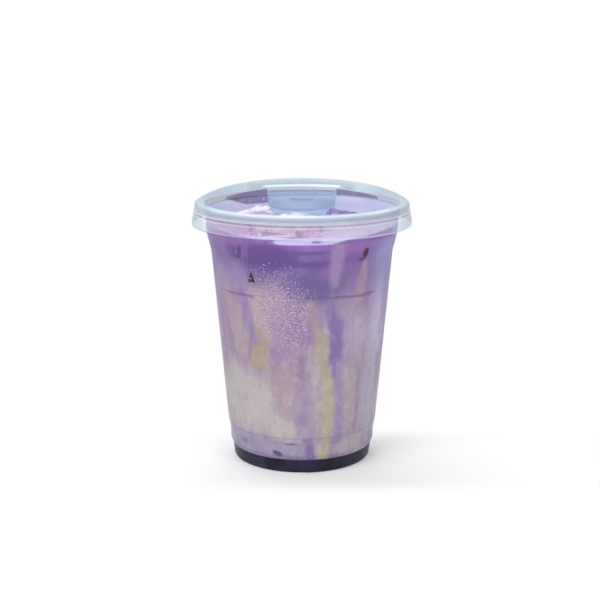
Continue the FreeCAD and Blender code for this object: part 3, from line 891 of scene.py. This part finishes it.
# %% A node tree for scattered beads
class Growth:
    """A Geometry Nodes tree and the one method that adds nodes to it."""

    def __init__(self, name, inputs):
        self.tree = bpy.data.node_groups.new(name, "GeometryNodeTree")
        interface = self.tree.interface
        interface.new_socket("Patch", in_out="INPUT", socket_type="NodeSocketGeometry")
        for label, kind in inputs:
            interface.new_socket(label, in_out="INPUT", socket_type=kind)
        interface.new_socket("Mesh", in_out="OUTPUT", socket_type="NodeSocketGeometry")
        self.start = self.tree.nodes.new("NodeGroupInput")
        self.end = self.tree.nodes.new("NodeGroupOutput")

    def given(self, label):
        """An input of the tree."""
        return self.start.outputs[label]

    def node(self, kind, settings=None, sockets=None, output=0):
        """A node of a kind: its settings first, then values or links of its sockets."""
        made = self.tree.nodes.new(kind)
        for key, value in (settings or {}).items():
            setattr(made, key, value)
        for key, value in (sockets or {}).items():
            if isinstance(value, bpy.types.NodeSocket):
                self.tree.links.new(value, made.inputs[key])
            else:
                made.inputs[key].default_value = value
        return made.outputs[output]

    def grow(self, name, patch, values):
        """Run the tree on a patch and keep the mesh that comes out."""
        carrier = bpy.data.objects.new(name + "_patch", patch)
        bpy.context.scene.collection.objects.link(carrier)
        modifier = carrier.modifiers.new("growth", "NODES")
        modifier.node_group = self.tree
        for item in self.tree.interface.items_tree:
            if item.in_out == "INPUT" and item.name in values:
                modifier[item.identifier] = values[item.name]
        done = carrier.evaluated_get(bpy.context.evaluated_depsgraph_get())
        mesh = bpy.data.meshes.new_from_object(done)
        mesh.name = name
        bpy.data.objects.remove(carrier)
        return mesh


def bead_growth(material):
    """Domes of water on a patch, more of them where its density attribute is high."""
    g = Growth("beads", [("Per area", "NodeSocketFloat"), ("Smallest", "NodeSocketFloat"),
                         ("Largest", "NodeSocketFloat"), ("Seed", "NodeSocketInt")])
    wet = g.node("GeometryNodeInputNamedAttribute", {"data_type": "FLOAT"}, {"Name": "wet"})
    density = g.node("ShaderNodeMath", {"operation": "MULTIPLY"},
                     {0: wet, 1: g.given("Per area")})
    scatter = g.node("GeometryNodeDistributePointsOnFaces", {"distribute_method": "RANDOM"},
                     {"Mesh": g.given("Patch"), "Density": density, "Seed": g.given("Seed")})
    turn = scatter.node.outputs["Rotation"]
    dome = g.node("GeometryNodeMeshIcoSphere", {}, {"Radius": 1.0, "Subdivisions": 1})
    flat = g.node("GeometryNodeTransform", {}, {"Geometry": dome, "Scale": (1.0, 1.0, 0.45)})
    size = g.node("FunctionNodeRandomValue", {"data_type": "FLOAT"},
                  {2: g.given("Smallest"), 3: g.given("Largest"), "Seed": g.given("Seed")}, 1)
    placed = g.node("GeometryNodeInstanceOnPoints", {},
                    {"Points": scatter, "Instance": flat, "Rotation": turn, "Scale": size})
    real = g.node("GeometryNodeRealizeInstances", {}, {"Geometry": placed})
    round_faces = g.node("GeometryNodeSetShadeSmooth", {}, {"Geometry": real})
    painted = g.node("GeometryNodeSetMaterial", {},
                     {"Geometry": round_faces, "Material": material})
    g.tree.links.new(painted, g.end.inputs[0])
    return g


print("bead tree ready")

# %% Beads on the wall
MIST_ANGLES = (-38.0, 6.0)             # the patch, in degrees from the front
MIST_HEIGHTS = (56 * MM, 100 * MM)
MIST_MIDDLE = (-13.0, 80.0)            # middle of the mist: degrees, millimetres
MIST_HALF = (24.0, 20.0)
MIST_LEAN = 0.2                        # it drops this much per degree to the right
PER_SQUARE_METRE = 1.2e6
BEAD_RADII = (0.11 * MM, 0.22 * MM)


def wall_patch(name, start, end, low, high, wet, steps=48, levels=24):
    """A piece of the cup's outer surface that carries how wet each point is."""
    points, faces, damp = [], [], []
    for i in range(steps + 1):
        degrees = start + (end - start) * i / steps
        angle = math.radians(degrees)
        for j in range(levels + 1):
            z = low + (high - low) * j / levels
            radius = inner_radius(z) + WALL
            points.append((radius * math.sin(angle), -radius * math.cos(angle), z))
            damp.append(wet(degrees, z / MM))
    row = levels + 1
    for i in range(steps):
        for j in range(levels):
            corner = i * row + j
            faces.append((corner, corner + row, corner + row + 1, corner + 1))
    mesh = bpy.data.meshes.new(name)
    mesh.from_pydata(points, [], faces)
    attribute = mesh.attributes.new("wet", "FLOAT", "POINT")
    attribute.data.foreach_set("value", damp)
    return mesh


def water_finish():
    """Small pale beads, half clear."""
    f = Finish("water_beads")
    blot = f.noise(f.place(), 900.0)
    paint = f.mix(blot.step(0.42, 0.58), colour(126, 102, 134), colour(158, 134, 162))
    gloss = f.shine({"Base Color": paint, "Roughness": 0.6, "IOR": 1.33,
                     "Specular IOR Level": 0.3})
    return f.done(f.blend(0.38, f.clear(), gloss))


def misted(degrees, height):
    """Mist slants down from the left shoulder to the middle of the wall."""
    off_middle = degrees - MIST_MIDDLE[0]
    across = off_middle / MIST_HALF[0]
    along = (height - MIST_MIDDLE[1] + MIST_LEAN * off_middle) / MIST_HALF[1]
    return max(0.0, 1.0 - across * across - along * along) ** 1.1


front_patch = wall_patch("front", *MIST_ANGLES, *MIST_HEIGHTS, misted)
mist = bead_growth(water_finish()).grow(
    "mist_beads", front_patch,
    {"Per area": PER_SQUARE_METRE, "Smallest": BEAD_RADII[0], "Largest": BEAD_RADII[1],
     "Seed": 7})
piece("mist_beads", mist, mist.materials[0])
print("beads", len(mist.polygons), "faces")

# %% [markdown]
# ## Stage, lights and camera
# A white floor and world, a wide soft light from the upper left, a weaker one from the
# right and one overhead. Floor and world look white straight on, in a gloss and through
# the plastic, while the light they throw on the drink stays at a plain level. Close to the
# cup the floor keeps its matt shade, so the shadow shows there.

# %% Floor and world
FLOOR_HALF = 3.0
FLOOR_WHITE = 0.34             # share of plain white next to the cup; all white far off
SHADOW_R = (0.06, 0.26)        # the shadow fades out between these distances
SHADOW_Y = 0.012               # and in front of and behind a line this far before the middle
SHADOW_DEPTH = (0.026, 0.048)
WORLD_LIGHT = 0.36             # what the white world throws on the drink


def floor_finish():
    """White floor that keeps the shadow."""
    f = Finish("floor")
    place = f.place()
    _, y, _ = f.split(place)
    matt = f.node("ShaderNodeBsdfDiffuse", {}, {"Color": (0.8, 0.8, 0.81, 1.0)})
    path = f.node("ShaderNodeLightPath")
    seen = path.other("Is Camera Ray").most(path.other("Is Glossy Ray"))
    seen = seen.most(path.other("Is Transmission Ray"))
    depth = (y + SHADOW_Y).size()
    far = f.length(place).step(*SHADOW_R).most(depth.step(*SHADOW_DEPTH))
    lift = (far * (1.0 - FLOOR_WHITE) + FLOOR_WHITE) * seen
    glow = f.node("ShaderNodeEmission", {}, {"Color": WHITE, "Strength": 1.0})
    return f.done(f.blend(lift, matt, glow))


floor_mesh = bpy.data.meshes.new("floor")
corners = [(-FLOOR_HALF, -FLOOR_HALF, 0), (FLOOR_HALF, -FLOOR_HALF, 0),
           (FLOOR_HALF, FLOOR_HALF, 0), (-FLOOR_HALF, FLOOR_HALF, 0)]
floor_mesh.from_pydata(corners, [], [(0, 1, 2, 3)])
floor = bpy.data.objects.new("floor", floor_mesh)
bpy.context.scene.collection.objects.link(floor)
floor_mesh.materials.append(floor_finish())

world = bpy.data.worlds.new("studio")
bpy.context.scene.world = world
world.use_nodes = True
nodes, links = world.node_tree.nodes, world.node_tree.links
background = nodes["Background"]
path = nodes.new("ShaderNodeLightPath")
shown = path.outputs["Is Camera Ray"]
for ray in ("Is Glossy Ray", "Is Transmission Ray"):
    either = nodes.new("ShaderNodeMath")
    either.operation = "MAXIMUM"
    links.new(shown, either.inputs[0])
    links.new(path.outputs[ray], either.inputs[1])
    shown = either.outputs[0]
level = nodes.new("ShaderNodeMapRange")
level.inputs["To Min"].default_value = WORLD_LIGHT
level.inputs["To Max"].default_value = 1.0
links.new(shown, level.inputs["Value"])
links.new(level.outputs[0], background.inputs["Strength"])
background.inputs["Color"].default_value = WHITE
print("white floor and world")

# %% Lights and camera
def lamp(name, place, target, size, watts):
    """A square soft light that points at a place."""
    data = bpy.data.lights.new(name, "AREA")
    data.size = size
    data.energy = watts
    obj = bpy.data.objects.new(name, data)
    bpy.context.scene.collection.objects.link(obj)
    obj.location = place
    obj.rotation_euler = (Vector(target) - Vector(place)).to_track_quat("-Z", "Y").to_euler()
    return obj


MIDDLE = (0.0, 0.0, 0.06)
LAMPS = [("key", (-0.40, -0.62, 0.72), 0.5, 5.6),         # name, place, size, watts
         ("fill", (0.50, -0.70, 0.4), 0.5, 2.5),
         ("over", (-0.10, 0.30, 0.85), 0.6, 5.0)]
for name, place, size, watts in LAMPS:
    lamp(name, place, MIDDLE, size, watts)

CAMERA_BACK = 0.600
CAMERA_UP = 0.206
CAMERA_SIDE = -0.0009
LOOK_DOWN = 12.4           # degrees
SENSOR = 36.0
LENS = 78.9
camera_data = bpy.data.cameras.new("camera")
camera_data.sensor_width = SENSOR
camera_data.lens = LENS
camera = bpy.data.objects.new("camera", camera_data)
bpy.context.scene.collection.objects.link(camera)
camera.location = (CAMERA_SIDE, -CAMERA_BACK, CAMERA_UP)
camera.rotation_euler = (math.radians(90.0 - LOOK_DOWN), 0.0, 0.0)
bpy.context.scene.camera = camera
bpy.context.scene.view_settings.view_transform = "Standard"
print(len(LAMPS), "lamps, camera", CAMERA_BACK, "m away")
